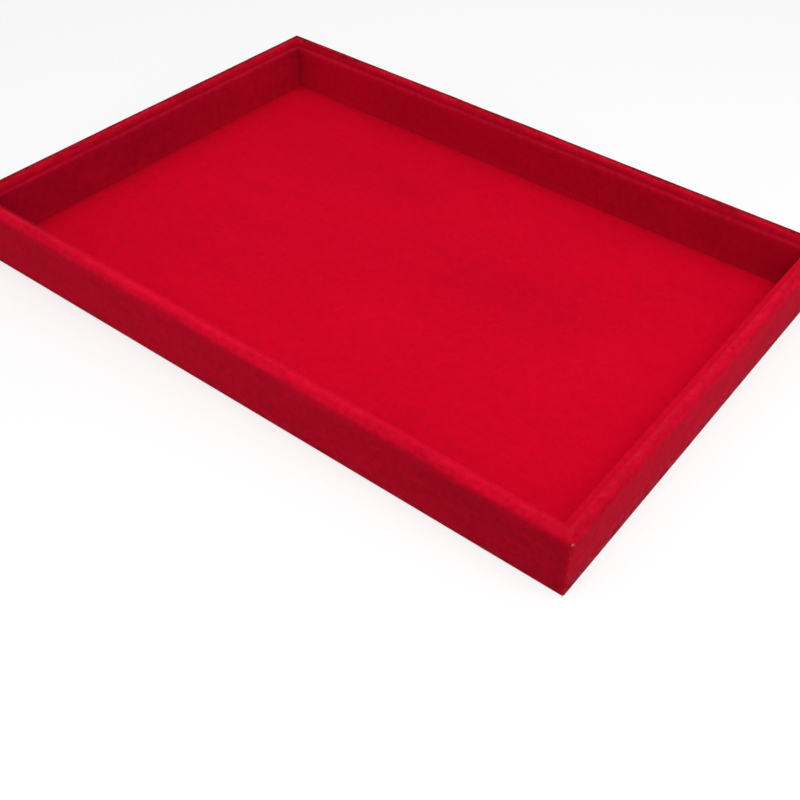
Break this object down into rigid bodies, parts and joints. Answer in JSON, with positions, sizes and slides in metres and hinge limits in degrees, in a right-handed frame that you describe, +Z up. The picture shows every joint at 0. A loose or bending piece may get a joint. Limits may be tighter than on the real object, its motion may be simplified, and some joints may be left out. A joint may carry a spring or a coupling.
{
  "type": "jewelry display box",
  "caption": "Shallow rectangular open display box covered in red velvet, with a folded rim, a recessed inner lining and a flat floor.",
  "frame": {"origin": "centre of the underside, on the surface that the box stands on", "axes": "+X along the long side, +Y along the short side towards the back wall, +Z up out of the open top"},
  "size_m": [0.35, 0.24, 0.032],
  "materials": {
    "outer_velvet": "short-pile red velvet",
    "liner_velvet": "short-pile red velvet",
    "floor_velvet": "short-pile red velvet",
    "grey_board": "raw grey board",
    "backing_paper": "matt black paper"
  },
  "bodies": {
    "root": {"backing_sheet": "backing_paper", "base_board": "grey_board", "front_wall_board": "grey_board", "back_wall_board": "grey_board", "left_wall_board": "grey_board", "right_wall_board": "grey_board", "front_outer_cover": "outer_velvet", "back_outer_cover": "outer_velvet", "left_outer_cover": "outer_velvet", "right_outer_cover": "outer_velvet", "front_liner_card": "grey_board", "back_liner_card": "grey_board", "left_liner_card": "grey_board", "right_liner_card": "grey_board", "front_liner_cover": "liner_velvet", "back_liner_cover": "liner_velvet", "left_liner_cover": "liner_velvet", "right_liner_cover": "liner_velvet", "floor_card": "grey_board", "floor_cover": "floor_velvet"}
  },
  "joints": []
}
